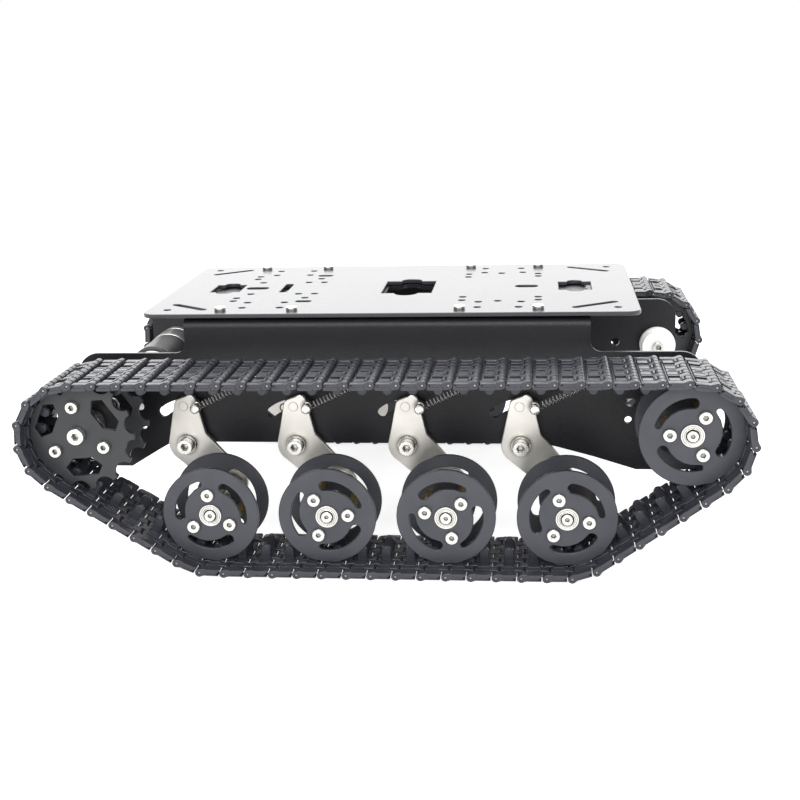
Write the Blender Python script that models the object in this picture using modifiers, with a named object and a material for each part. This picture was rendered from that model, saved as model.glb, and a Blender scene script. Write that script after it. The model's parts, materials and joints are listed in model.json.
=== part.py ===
"""Tracked robot chassis: a folded sheet hull and deck on two tracks with sprung road wheels.

+X runs along the hull, +Z is up and the ground is Z = 0. The right side is at -Y. Both drive
sprockets and motors are at the -X end. The sides mirror each other, but at the +X end the right
track runs on a plain idler and the left track on a toothed one.
"""
import math

import bmesh
import bpy
from mathutils import Matrix, Vector

MM = 0.001

# Running gear, seen from the right side; millimetres
LINK_PITCH = 11.0
SPROCKET_TEETH = 14
KNUCKLE_RADIUS = 1.85           # the hinge barrel of a track link
PIN_ABOVE_INNER_FACE = 2.0      # from the face that the wheels run on to the hinge pin
PLATE_ABOVE_PIN = 0.7           # the outer face of a link's plate
WHEEL_RADIUS = 21.75
GAP = 0.3                       # running gap between neighbouring pieces

TRACK_CENTRE_Y = 95.5
TRACK_WIDTH = 44.0
DISC_OFFSET = 10.35             # from the track's centre to the middle of a disc or toothed plate
DISC_THICKNESS = 2.0
SPACER_CIRCLE = 9.4             # the three spacers between a wheel's discs
BEARING_BORE = 3.6

SPROCKET_X = -133.3
SPROCKET_Z = 63.2
IDLER_X = 133.3
IDLER_Z = 63.9
FIRST_WHEEL_X = -76.0
WHEEL_SPACING = 52.5
WHEEL_COUNT = 4
WHEEL_TURNS = (20, 75, 50, 5, 62)       # degrees, four road wheels and the idler

PIN_CIRCLE_RADIUS = LINK_PITCH / (2 * math.sin(math.pi / SPROCKET_TEETH))
PIN_RUN_RADIUS = WHEEL_RADIUS + GAP + PIN_ABOVE_INNER_FACE
WHEEL_Z = KNUCKLE_RADIUS + PIN_RUN_RADIUS
FIRST_PIN_PAST_TOP = 1.1        # along the path, from the top of the sprocket

# The track bends as tightly round either idler as round the sprocket
PLAIN_IDLER_RADIUS = PIN_CIRCLE_RADIUS - GAP - PIN_ABOVE_INNER_FACE

# Swing arms; places are measured from the pivot
ARM_Y = 62.0
ARM_THICKNESS = 3.0
AXLE_FROM_PIVOT = (20.5, -19.5)
STOP_PIN_FROM_PIVOT = (-0.5, 18.5)
SPRING_POST_FROM_PIVOT = (6.5, 19.0)
SPRING_ANCHOR_FROM_PIVOT = (36.0, 33.0)
SPRING_Y = 68.5
SPRING_RADIUS = 2.6
ARM_TRAVEL = 35.0               # degrees
PIVOT_Z = WHEEL_Z - AXLE_FROM_PIVOT[1]

# Hull, a folded inverted channel, and the deck plate on it
HULL_OUTER_Y = 60.0
SHEET = 2.0
BEND_RADIUS = 5.0
DECK_TOP_Z = 107.5
WEB_TOP_Z = DECK_TOP_Z - SHEET - GAP
HULL_ENDS = (-148.0, 143.0)     # of the side plates
WEB_ENDS = (-95.5, 92.5)        # of the top between them
LOBE_TOP_Z = 88.5
SKIRT_Z = 45.2
SKIRT_LOW_Z = 32.5
DECK_HALF_LENGTH = 115.0
DECK_HALF_WIDTH = 62.0

# Deck openings
SMALL_HOLE_RADIUS = 1.75
DECK_SMALL_HOLES = (
    (-73, 15), (-78, 25), (-78, 32), (-70, 36), (-70, 48), (-52, 36), (-52, 48), (-44, 25), (-49, 15),
    (-41, 15), (33, 26), (33, 34), (41, 38), (50, 36), (41, 50), (61, 38), (60, 50), (69, 27), (69, 34),
    (105, 52), (-105, 52),
)
DECK_SLOTS = (                  # ends and width
    ((-104, 40), (-88, 51.5), 3.4), ((104, 40), (86, 51.5), 3.4),
    ((-104, -40), (-88, -51.5), 3.4), ((104, -40), (86, -51.5), 3.4),
    ((-58, -9), (-58, 9), 4.0), ((-75.5, 0), (-70, 0), 6.0), ((60.5, 0), (66, 0), 6.0),
    ((-45, 33.5), (-41.5, 33.5), 4.4), ((-45, -33.5), (-41.5, -33.5), 4.4),
)
CABLE_CUTS = (                  # centre X, length, width, radius of the round bulges
    (-88.0, 15.0, 19.0, 4.0), (87.0, 16.0, 21.0, 4.0), (4.5, 25.0, 31.0, 5.5),
)

FILL_SLANT = 0.3                # outlines are filled at a slant: level rows of points leave slivers

# Drive motors
GEARBOX_RADIUS = 12.2
GEARBOX_LENGTH = 21.0
MOTOR_LENGTH = 30.0


# ---------------------------------------------------------------- scene and helpers

def clear_scene():
    for obj in list(bpy.data.objects):
        bpy.data.objects.remove(obj, do_unlink=True)


def new_collection(name):
    collection = bpy.data.collections.new(name)
    bpy.context.scene.collection.children.link(collection)
    return collection


clear_scene()
PARTS = new_collection("tracked_chassis")
CUTTERS = new_collection("cutters")


def finish(name, colour, roughness, metallic):
    material = bpy.data.materials.new(name)
    material.use_nodes = True
    shader = material.node_tree.nodes["Principled BSDF"]
    shader.inputs["Base Color"].default_value = (*colour, 1.0)
    shader.inputs["Roughness"].default_value = roughness
    shader.inputs["Metallic"].default_value = metallic
    return material


FINISHES = {
    "powder_coat": ((0.012, 0.012, 0.014), 0.45, 0.0),
    "deck_coat": ((0.05, 0.05, 0.055), 0.3, 0.0),
    "track_plastic": ((0.022, 0.023, 0.03), 0.5, 0.0),
    "anodised": ((0.015, 0.015, 0.018), 0.35, 0.6),
    "toothed_steel": ((0.02, 0.02, 0.023), 0.4, 0.7),
    "arm_steel": ((0.55, 0.54, 0.5), 0.35, 1.0),
    "fastener_steel": ((0.6, 0.6, 0.6), 0.25, 1.0),
    "spring_steel": ((0.15, 0.15, 0.15), 0.3, 1.0),
    "gearbox_metal": ((0.5, 0.5, 0.5), 0.3, 1.0),
    "motor_can": ((0.03, 0.03, 0.03), 0.35, 0.5),
    "white_nylon": ((0.85, 0.85, 0.82), 0.45, 0.0),
}
OUTWARD = {"right": -1, "left": 1}


def link_part(name, mesh, material_name, parent=None):
    """A node's object, with its own material."""
    obj = bpy.data.objects.new(name, mesh)
    PARTS.objects.link(obj)
    obj.parent = parent
    if not mesh.materials:
        mesh.materials.append(None)
    slot = obj.material_slots[0]
    slot.link = "OBJECT"
    slot.material = finish(f"{name}_{material_name}", *FINISHES[material_name])
    return obj


def hide_cutter(obj):
    CUTTERS.objects.link(obj)
    obj.hide_render = True
    obj.display_type = "WIRE"


def mesh_with_modifiers(obj, name):
    graph = bpy.context.evaluated_depsgraph_get()
    mesh = bpy.data.meshes.new_from_object(obj.evaluated_get(graph), depsgraph=graph)
    mesh.name = name
    return mesh


def flat_plate(name, loops, thickness):
    """A plate whose outline and holes are loops of (x, z) points; its middle plane is Y = 0."""
    slant = Matrix.Rotation(FILL_SLANT, 2)
    curve = bpy.data.curves.new(name, "CURVE")
    curve.dimensions = "2D"
    curve.fill_mode = "BOTH"
    curve.extrude = thickness / 2 * MM
    for loop in loops:
        spline = curve.splines.new("POLY")
        spline.points.add(len(loop) - 1)
        for point, (x, z) in zip(spline.points, loop):
            point.co = (*(slant @ Vector((x * MM, z * MM))), 0.0, 1.0)
        spline.use_cyclic_u = True
    outline = bpy.data.objects.new(name, curve)
    bpy.context.scene.collection.objects.link(outline)
    mesh = mesh_with_modifiers(outline, name)
    bpy.data.objects.remove(outline, do_unlink=True)
    edit = bmesh.new()
    edit.from_mesh(mesh)
    bmesh.ops.remove_doubles(edit, verts=edit.verts, dist=0.002 * MM)
    bmesh.ops.rotate(edit, verts=edit.verts, matrix=Matrix.Rotation(-FILL_SLANT, 3, "Z"))
    bmesh.ops.rotate(edit, verts=edit.verts, matrix=Matrix.Rotation(math.pi / 2, 3, "X"))
    bmesh.ops.recalc_face_normals(edit, faces=edit.faces)
    edit.to_mesh(mesh)
    edit.free()
    return mesh


def turned(name, profile, segments=16):
    """A solid turned about the Y axis from (radius, y) steps, with both ends on the axis."""
    points = [(0.0, profile[0][1]), *profile, (0.0, profile[-1][1])]
    mesh = bpy.data.meshes.new(name)
    mesh.from_pydata([(r * MM, y * MM, 0.0) for r, y in points],
                     [(i, i + 1) for i in range(len(points) - 1)], [])
    return screwed(name, mesh, segments)


def turned_ring(name, inner, outer, low, high, segments=16):
    """A tube about the Y axis."""
    points = [(outer, high), (outer, low), (inner, low), (inner, high)]
    mesh = bpy.data.meshes.new(name)
    mesh.from_pydata([(r * MM, y * MM, 0.0) for r, y in points], [(0, 1), (1, 2), (2, 3), (3, 0)], [])
    return screwed(name, mesh, segments)


def screwed(name, mesh, segments):
    profile = bpy.data.objects.new(name, mesh)
    bpy.context.scene.collection.objects.link(profile)
    screw = profile.modifiers.new("turn", "SCREW")
    screw.axis = "Y"
    screw.steps = segments
    screw.render_steps = segments
    screw.use_merge_vertices = True
    screw.merge_threshold = 0.00001
    solid = mesh_with_modifiers(profile, name)
    bpy.data.objects.remove(profile, do_unlink=True)
    edit = bmesh.new()
    edit.from_mesh(solid)
    bmesh.ops.remove_doubles(edit, verts=edit.verts, dist=0.002 * MM)
    bmesh.ops.recalc_face_normals(edit, faces=edit.faces)
    edit.to_mesh(solid)
    edit.free()
    return solid


def moved(mesh, x=0.0, y=0.0, z=0.0):
    """The same mesh, shifted in millimetres."""
    mesh.transform(Matrix.Translation((x * MM, y * MM, z * MM)))
    return mesh


def mirrored(mesh):
    """A copy for the left side: the same shape with Y reversed."""
    copy = mesh.copy()
    copy.transform(Matrix.Scale(-1, 4, (0, 1, 0)))
    copy.flip_normals()
    return copy


def joined(name, meshes):
    """One mesh that holds several closed bodies, for use as a cutter."""
    edit = bmesh.new()
    for mesh in meshes:
        edit.from_mesh(mesh)
    whole = bpy.data.meshes.new(name)
    edit.to_mesh(whole)
    edit.free()
    return whole


def combined(name, base, others, operation):
    """The mesh of a Boolean of one mesh with several others."""
    body = bpy.data.objects.new(name, base)
    bpy.context.scene.collection.objects.link(body)
    tools = []
    for index, other in enumerate(others):
        tool = bpy.data.objects.new(f"{name}_tool_{index}", other)
        hide_cutter(tool)
        cut = body.modifiers.new(f"{operation.lower()}_{index}", "BOOLEAN")
        cut.operation = operation
        cut.solver = "EXACT"
        cut.object = tool
        tools.append(tool)
    result = mesh_with_modifiers(body, name)
    for obj in [body, *tools]:
        bpy.data.objects.remove(obj, do_unlink=True)
    return result


def shade(mesh, angle=35.0):
    mesh.shade_smooth()
    mesh.set_sharp_from_angle(angle=math.radians(angle))
    return mesh


# ---------------------------------------------------------------- outlines

def circle(x, z, radius, points=12, start=0.0):
    steps = [start + 2 * math.pi * i / points for i in range(points)]
    return [(x + radius * math.cos(a), z + radius * math.sin(a)) for a in steps]


def arc(x, z, radius, first, last, points):
    """Points of an arc, both ends included; angles in degrees."""
    angles = [math.radians(first + (last - first) * i / (points - 1)) for i in range(points)]
    return [(x + radius * math.cos(a), z + radius * math.sin(a)) for a in angles]


def slot_outline(start, end, width, points=4):
    heading = math.degrees(math.atan2(end[1] - start[1], end[0] - start[0]))
    return (arc(*end, width / 2, heading - 90, heading + 90, points)
            + arc(*start, width / 2, heading + 90, heading + 270, points))


def curved_slot(x, z, radius, width, first, last, points=4):
    """A slot along an arc, with round ends."""
    end_low = arc(x, z, radius, first, first, 2)[0]
    end_high = arc(x, z, radius, last, last, 2)[0]
    return (arc(x, z, radius + width / 2, first, last, points)
            + arc(*end_high, width / 2, last, last + 180, 4)[1:-1]
            + arc(x, z, radius - width / 2, last, first, points)
            + arc(*end_low, width / 2, first + 180, first + 360, 4)[1:-1])


def hull_of_circles(circles, points=10):
    """The outline of a band stretched round several circles of (x, z, radius)."""
    cloud = sorted(p for x, z, r in circles for p in circle(x, z, r, points))

    def half(ordered):
        chain = []
        for p in ordered:
            while len(chain) > 1 and cross(chain[-2], chain[-1], p) <= 0:
                chain.pop()
            chain.append(p)
        return chain[:-1]

    return half(cloud) + half(reversed(cloud))


def cross(a, b, c):
    return (b[0] - a[0]) * (c[1] - a[1]) - (b[1] - a[1]) * (c[0] - a[0])


def cable_cut(x, length, width, bulge):
    """A rectangle with a round bulge in the middle of each long side."""
    side = length / 2
    half = width / 2
    low = arc(x, -half, bulge, 180, 360, 6)
    high = arc(x, half, bulge, 0, 180, 6)
    return [(x - side, -half), *low, (x + side, -half), (x + side, half), *high, (x - side, half)]


# ---------------------------------------------------------------- the path of the hinge pins

WHEEL_XS = [FIRST_WHEEL_X + WHEEL_SPACING * i for i in range(WHEEL_COUNT)]
PIVOT_XS = [x - AXLE_FROM_PIVOT[0] for x in WHEEL_XS]


def track_segments(corners):
    """Straights and arcs round (x, z, radius) corners, clockwise from the top of the first."""
    outward = []
    for (x1, z1, r1), (x2, z2, r2) in zip(corners, corners[1:] + corners[:1]):
        span = math.hypot(x2 - x1, z2 - z1)
        outward.append(math.atan2(z2 - z1, x2 - x1) + math.acos((r1 - r2) / span))
    segments = []
    for i, here in enumerate(corners):
        there = corners[(i + 1) % len(corners)]
        turn = outward[i]
        start = [here[k] + here[2] * (math.cos(turn), math.sin(turn))[k] for k in (0, 1)]
        end = [there[k] + there[2] * (math.cos(turn), math.sin(turn))[k] for k in (0, 1)]
        segments.append(("line", math.dist(start, end), start, end, turn))
        bend = (turn - outward[(i + 1) % len(outward)]) % (2 * math.pi)
        segments.append(("arc", bend * there[2], there, turn))
    return segments


class TrackPath:
    """The closed path of a track's hinge pins."""

    def __init__(self):
        self.segments = track_segments((
            (SPROCKET_X, SPROCKET_Z, PIN_CIRCLE_RADIUS),
            (IDLER_X, IDLER_Z, PIN_CIRCLE_RADIUS),
            (WHEEL_XS[-1], WHEEL_Z, PIN_RUN_RADIUS),
            (WHEEL_XS[0], WHEEL_Z, PIN_RUN_RADIUS),
        ))
        self.length = sum(segment[1] for segment in self.segments)
        self.links = round(self.length / LINK_PITCH)
        self.step = self.length / self.links

    def point(self, along, height):
        """The point at a distance along the path and a height outward from it."""
        along %= self.length
        for segment in self.segments:
            if along <= segment[1]:
                break
            along -= segment[1]
        if segment[0] == "line":
            _, length, start, end, turn = segment
            x, z = (start[k] + (end[k] - start[k]) * along / length for k in (0, 1))
        else:
            _, length, (x, z, radius), first = segment
            turn = first - along / radius
            x += radius * math.cos(turn)
            z += radius * math.sin(turn)
        return x + height * math.cos(turn), z + height * math.sin(turn)

    def per_link(self, steps):
        """A closed outline with the same (offset, height) steps on every link."""
        return [self.point(FIRST_PIN_PAST_TOP + i * self.step + offset, height)
                for i in range(self.links) for offset, height in steps]

    def smooth_loop(self, height, step=13.0):
        """A closed outline at one height, with points only where the path bends, each few degrees."""
        points = []
        travelled = 0.0
        for kind, length, *rest in self.segments:
            if kind == "arc":
                radius = rest[0][2]
                pieces = math.ceil(math.degrees(length / radius) / step)
                points += [self.point(travelled + length * i / pieces, height) for i in range(pieces + 1)]
            travelled += length
        return points


# ---------------------------------------------------------------- tracks, wheels and sprockets

def track_mesh(side):
    """The closed track: a belt with a ridge at each pin, and grooves where the teeth run."""
    ridge = [(-2.6, PLATE_ABOVE_PIN), (-1.2, KNUCKLE_RADIUS), (1.2, KNUCKLE_RADIUS), (2.6, PLATE_ABOVE_PIN)]
    path = TrackPath()
    track = flat_plate("track", [path.per_link(ridge), path.smooth_loop(-PIN_ABOVE_INNER_FACE)], TRACK_WIDTH)
    groove_radius = PIN_CIRCLE_RADIUS + KNUCKLE_RADIUS + 0.8
    toothed = [(SPROCKET_X, SPROCKET_Z)]
    if side == "left":
        toothed.append((IDLER_X, IDLER_Z))
    grooves = []
    for x, z in toothed:
        for offset in (-DISC_OFFSET, DISC_OFFSET):
            groove = turned("groove", [(groove_radius, -1.5), (groove_radius, 1.5)], 32)
            grooves.append(moved(groove, x, offset, z))
    return combined("track", track, [joined("grooves", grooves)], "DIFFERENCE")


def comma_slot(turn):
    """A curved window in a disc, wide at one end; the turn is in degrees."""
    outer = arc(0, 0, 16.0, turn - 34, turn + 34, 3)
    wide, narrow = (arc(0, 0, radius, turn + angle, turn + angle, 2)[0]
                    for radius, angle in ((13.4, 30), (11.8, -28)))
    return outer + [wide, narrow]


def wheel_mesh(radius):
    """Two slotted discs on three spacers, turned about Y; the bore is the bearings' bore."""
    slots = [comma_slot(turn) for turn in (90, 210, 330)]
    loops = [circle(0, 0, radius, 24), circle(0, 0, BEARING_BORE, 8), *slots]
    discs = [moved(flat_plate("disc", loops, DISC_THICKNESS), y=side * DISC_OFFSET) for side in (-1, 1)]
    spacers = []
    for turn in (30, 150, 270):
        (x, z), _ = arc(0, 0, SPACER_CIRCLE, turn, turn, 2)
        spacers.append(moved(turned("spacer", [(2.5, -DISC_OFFSET), (2.5, DISC_OFFSET)], 6), x=x, z=z))
    return shade(combined("wheel", discs[0], [discs[1], joined("spacers", spacers)], "UNION"))


def tooth_outline():
    """Pointed teeth between round gullets that seat the link barrels."""
    tip, seat_radius, seat_centre = 25.7, 4.6, 26.4
    reach = (seat_centre ** 2 + seat_radius ** 2 - tip ** 2) / (2 * seat_centre * seat_radius)
    spread = math.degrees(math.acos(reach))
    points = []
    for tooth in range(SPROCKET_TEETH):
        turn = 360 * tooth / SPROCKET_TEETH + SEAT_TURN
        (x, z), _ = arc(0, 0, seat_centre, turn, turn, 2)
        points += arc(x, z, seat_radius, turn + 180 + spread, turn + 180 - spread, 4)
    return points


SEAT_TURN = math.degrees(math.pi / 2 - FIRST_PIN_PAST_TOP / PIN_CIRCLE_RADIUS)
WINDOW_TURNS = (33, 153, 273)
STANDOFF_CIRCLE = 12.8


def toothed_idler_turn():
    """How far the toothed idler is turned, in degrees, so that its teeth meet the pins over its top."""
    path = TrackPath()
    _, top_run, _, _, turn = path.segments[0]
    past_top = (FIRST_PIN_PAST_TOP - top_run) % path.step
    seat = math.degrees(turn - past_top / PIN_CIRCLE_RADIUS)
    return (SEAT_TURN - seat) % (360 / SPROCKET_TEETH)


def sprocket_plate():
    windows = [arc(0, 0, 17.3, turn - 30, turn + 30, 4) + arc(0, 0, 11.5, turn + 30, turn - 30, 3)
               for turn in WINDOW_TURNS]
    loops = [tooth_outline(), circle(0, 0, 3.0, 8), *windows]
    return shade(flat_plate("sprocket_plate", loops, DISC_THICKNESS))


def toothed_idler():
    """Two toothed plates on three spacers; it turns freely on its axle."""
    windows = [arc(0, 0, 17.3, turn - 30, turn + 30, 4) + arc(0, 0, 11.5, turn + 30, turn - 30, 3)
               for turn in WINDOW_TURNS]
    loops = [tooth_outline(), circle(0, 0, BEARING_BORE, 8), *windows]
    plates = [moved(flat_plate("plate", loops, DISC_THICKNESS), y=side * DISC_OFFSET) for side in (-1, 1)]
    spacers = []
    for turn in WINDOW_TURNS:
        (x, z), _ = arc(0, 0, STANDOFF_CIRCLE, turn + 60, turn + 60, 2)
        spacers.append(moved(turned("spacer", [(2.5, -DISC_OFFSET), (2.5, DISC_OFFSET)], 6), x=x, z=z))
    return shade(combined("toothed_idler", plates[0], [plates[1], joined("spacers", spacers)], "UNION"))


def sprocket_hub():
    """The drive shaft with the flange and standoffs that carry the two toothed plates."""
    inner_face = DISC_OFFSET - DISC_THICKNESS / 2 - GAP
    shaft_end = TRACK_CENTRE_Y - HULL_OUTER_Y + SHEET + 12.0
    shaft = turned("shaft", [(2.2, -inner_face - 4.5), (2.2, -inner_face + 1), (6.0, -inner_face + 1),
                             (6.0, inner_face - 3), (11.0, inner_face - 3), (11.0, inner_face),
                             (2.2, inner_face), (2.2, shaft_end)], 12)
    standoffs = []
    for turn in WINDOW_TURNS:
        (x, z), _ = arc(0, 0, STANDOFF_CIRCLE, turn + 60, turn + 60, 2)
        standoffs.append(moved(turned("standoff", [(2.6, -inner_face), (2.6, inner_face)], 6), x=x, z=z))
    return shade(combined("sprocket_hub", shaft, standoffs, "UNION"))


# ---------------------------------------------------------------- arms, bolts, axles and springs

def arm_mesh():
    """The swing arm with its stop pin and spring post; its origin is the pivot, in its mid plane."""
    middle = ARM_Y + ARM_THICKNESS / 2
    lower = flat_plate("arm", [hull_of_circles([(0, 0, 8.5), (*AXLE_FROM_PIVOT, 7.5)]),
                               circle(0, 0, 2.9, 8), circle(*AXLE_FROM_PIVOT, 2.4, 8)], ARM_THICKNESS)
    corners = [(*STOP_PIN_FROM_PIVOT, 6.0), (*SPRING_POST_FROM_PIVOT, 3.6), (-1.0, 7.5, 4.0)]
    upper = flat_plate("arm_top", [hull_of_circles(corners, 12)], ARM_THICKNESS - 0.2)
    stop_pin = moved(turned("pin", [(1.85, -(ARM_Y + 3.7)), (1.85, -(HULL_OUTER_Y - SHEET - 0.5))], 6),
                     STOP_PIN_FROM_PIVOT[0], middle, STOP_PIN_FROM_PIVOT[1])
    post = moved(turned("post", [(1.75, -(SPRING_Y + 2.8)), (1.75, -(ARM_Y + 1))], 6),
                 SPRING_POST_FROM_PIVOT[0], middle, SPRING_POST_FROM_PIVOT[1])
    return shade(combined("arm", lower, [upper, stop_pin, post], "UNION"))


def pivot_bolt():
    """A shoulder bolt: nut inside the hull, spacer, shaft through the arm, washer and head."""
    inside = -(HULL_OUTER_Y - SHEET - GAP)
    outside = -(HULL_OUTER_Y + GAP)
    arm_in = -(ARM_Y - GAP)
    arm_out = -(ARM_Y + ARM_THICKNESS + GAP)
    steps = [(3.5, arm_out - 4.3), (3.5, arm_out - 1.0), (6.0, arm_out - 1.0), (6.0, arm_out), (2.5, arm_out),
             (2.5, arm_in), (4.5, arm_in), (4.5, outside), (2.5, outside), (2.5, inside), (3.6, inside),
             (3.6, inside + 3.0)]
    return shade(turned("pivot_bolt", steps, 8))


def wheel_axle():
    """The stub axle on an arm: nut behind, flange, shaft through the hub and end cap."""
    disc_face = -(TRACK_CENTRE_Y + DISC_OFFSET + DISC_THICKNESS / 2 + 0.4)
    inner_disc_face = -(TRACK_CENTRE_Y - DISC_OFFSET - DISC_THICKNESS / 2 - 0.4)
    arm_out = -(ARM_Y + ARM_THICKNESS)
    steps = [(2.6, disc_face - 2.2), (4.6, disc_face - 1.4), (4.6, disc_face - GAP), (3.0, disc_face - GAP),
             (3.0, inner_disc_face + GAP), (4.6, inner_disc_face + GAP), (4.6, arm_out - GAP),
             (2.0, arm_out - GAP), (2.0, -ARM_Y)]
    return shade(turned("wheel_axle", steps, 8))


def idler_axle():
    """The idler's axle, bolted through the hull's side."""
    disc_face = -(TRACK_CENTRE_Y + DISC_OFFSET + DISC_THICKNESS / 2 + 0.4)
    inner_disc_face = -(TRACK_CENTRE_Y - DISC_OFFSET - DISC_THICKNESS / 2 - 0.4)
    outside = -(HULL_OUTER_Y + GAP)
    inside = -(HULL_OUTER_Y - SHEET - GAP)
    steps = [(2.6, disc_face - 2.2), (4.6, disc_face - 1.4), (4.6, disc_face - GAP), (3.0, disc_face - GAP),
             (3.0, inner_disc_face + GAP), (5.5, inner_disc_face + GAP), (5.5, outside), (3.0, outside),
             (3.0, inside + 6.0)]
    return shade(turned("idler_axle", steps, 10))


def idler_bush():
    """The round bush inside the hull's side, which the idler's axle is screwed into."""
    inside = -(HULL_OUTER_Y - SHEET - GAP)
    steps = [(3.4, inside + 6.5), (3.4, inside), (9.5, inside), (9.5, inside + 4.5), (8.5, inside + 8.0)]
    return shade(turned("idler_bush", steps, 16))


def tension_spring():
    """The outer shape of a tension spring and the stud on the hull that holds its far end."""
    run = [b - a for a, b in zip(SPRING_POST_FROM_PIVOT, SPRING_ANCHOR_FROM_PIVOT)]
    length = math.hypot(*run)
    clear = 2.4                 # from the arm's post to the first coil
    coil = turned("coil", [(SPRING_RADIUS, clear), (SPRING_RADIUS, length - clear / 2)], 8)
    coil.transform(Matrix.Rotation(-math.pi / 2, 4, "Z"))
    coil.transform(Matrix.Rotation(-math.atan2(run[1], run[0]), 4, "Y"))
    stud = turned("stud", [(1.5, -2.8), (1.5, SPRING_Y - HULL_OUTER_Y - GAP)], 6)
    return shade(combined("tension_spring", coil, [moved(stud, x=run[0], z=run[1])], "UNION"))


# ---------------------------------------------------------------- hull and deck

def hull_shell():
    """The folded channel before it is cut: a bent strip with thickness."""
    outer = HULL_OUTER_Y - SHEET / 2
    top = WEB_TOP_Z - SHEET / 2
    bend = BEND_RADIUS - SHEET / 2
    section = ([(-outer, 20.0)] + arc(-outer + bend, top - bend, bend, 180, 90, 5)
               + arc(outer - bend, top - bend, bend, 90, 0, 5) + [(outer, 20.0)])
    ends = HULL_ENDS[0] - 4.0, HULL_ENDS[1] + 4.0
    mesh = bpy.data.meshes.new("hull_strip")
    edit = bmesh.new()
    rows = [[edit.verts.new((x * MM, y * MM, z * MM)) for y, z in section] for x in ends]
    for i in range(len(section) - 1):
        edit.faces.new((rows[0][i], rows[1][i], rows[1][i + 1], rows[0][i + 1]))
    bmesh.ops.recalc_face_normals(edit, faces=edit.faces)
    edit.to_mesh(mesh)
    edit.free()
    strip = bpy.data.objects.new("hull_strip", mesh)
    bpy.context.scene.collection.objects.link(strip)
    thick = strip.modifiers.new("sheet", "SOLIDIFY")
    thick.thickness = SHEET * MM
    thick.offset = 0.0
    thick.use_even_offset = True
    shell = mesh_with_modifiers(strip, "hull_shell")
    bpy.data.objects.remove(strip, do_unlink=True)
    return shell


def end_notch(end, web_end):
    """What is cut off both sides past the web's end: the notch, the lobe's corner and the end."""
    fillet = 5.0
    corner = 10.0
    past = abs(end) + 20
    loop = ([(abs(web_end), WEB_TOP_Z + 10)]
            + arc(abs(web_end) + fillet, LOBE_TOP_Z + fillet, fillet, 180, 270, 5)
            + arc(abs(end) - corner, LOBE_TOP_Z - corner, corner, 90, 0, 6)
            + [(abs(end), 10), (past, 10), (past, WEB_TOP_Z + 10)])
    return [(math.copysign(x, end), z) for x, z in loop]


def skirt_outline():
    """What is cut away below a side plate: tabs round the pivots and lobes at the ends."""
    tab = 8.5
    low, high = HULL_ENDS
    edge = [(low - 20, 46), (low - 1, 46), (low + 13, SKIRT_LOW_Z), (low + 22, SKIRT_LOW_Z),
            (PIVOT_XS[0] - 15, SKIRT_Z - 4)]
    for x in PIVOT_XS:
        edge += [(x - tab, PIVOT_Z - 0.5), *arc(x, PIVOT_Z, tab, 195, 345, 5), (x + tab, PIVOT_Z - 0.5)]
    edge += [(PIVOT_XS[-1] + 16, SKIRT_Z - 1.7), (high - 48.5, SKIRT_Z - 6.5), (high - 29, SKIRT_LOW_Z),
             (high - 11, SKIRT_LOW_Z), (high + 1, 46), (high + 20, 46)]
    return edge + [(high + 20, -5), (low - 20, -5)]


def side_holes():
    """Round holes in a side plate: (x, z, radius)."""
    holes = [(SPROCKET_X, SPROCKET_Z, 4.2), (IDLER_X, IDLER_Z, 3.4),
             (SPROCKET_X + 13.4, SPROCKET_Z - 0.8, 2.2), (SPROCKET_X + 14.5, SPROCKET_Z - 10.6, 1.7),
             (SPROCKET_X + 16.0, SPROCKET_Z + 9.0, 1.7), (SPROCKET_X - 5.0, SPROCKET_Z + 18.5, 2.3),
             (IDLER_X - 22.3, IDLER_Z + 1.0, 2.2), (IDLER_X - 23.3, IDLER_Z - 7.5, 1.7)]
    holes += [(x, PIVOT_Z, 2.8) for x in PIVOT_XS]
    return holes


def side_plate_cutter(name, loop, side):
    """A cutter through one side plate only."""
    return moved(flat_plate(name, [loop], 10.0), y=OUTWARD[side] * (HULL_OUTER_Y - SHEET / 2))


def side_hole_cutters(side):
    """Cutters for a side plate's holes and the slots that the stop pins run in."""
    cutters = [side_plate_cutter("hole", circle(x, z, radius, 8), side) for x, z, radius in side_holes()]
    stop_radius = math.hypot(*STOP_PIN_FROM_PIVOT)
    rest = math.degrees(math.atan2(STOP_PIN_FROM_PIVOT[1], STOP_PIN_FROM_PIVOT[0]))
    for x in PIVOT_XS:
        slot = curved_slot(x, PIVOT_Z, stop_radius, 4.8, rest - 3, rest + ARM_TRAVEL + 3)
        cutters.append(side_plate_cutter("slot", slot, side))
    return cutters


def hull_mesh():
    outlines = [flat_plate("notch", [end_notch(*ends)], 2 * HULL_OUTER_Y + 20)
                for ends in zip(HULL_ENDS, WEB_ENDS)]
    holes = [level_plate([cable_cut(x, length - 2, width - 2, bulge)], 8.0, WEB_TOP_Z - SHEET / 2)
             for x, length, width, bulge in CABLE_CUTS if WEB_ENDS[0] + 20 < x < WEB_ENDS[1] - 20]
    for side in OUTWARD:
        outlines.append(side_plate_cutter("skirt", skirt_outline(), side))
        holes += side_hole_cutters(side)
    return shade(combined("hull", hull_shell(), [*outlines, joined("hull_holes", holes)], "DIFFERENCE"), 30)


def level_plate(loops, thickness, middle_z):
    """A plate whose loops are (x, y) points and whose middle plane is at a height."""
    mesh = flat_plate("level", loops, thickness)
    mesh.transform(Matrix.Rotation(-math.pi / 2, 4, "X"))
    return moved(mesh, z=middle_z)


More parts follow.
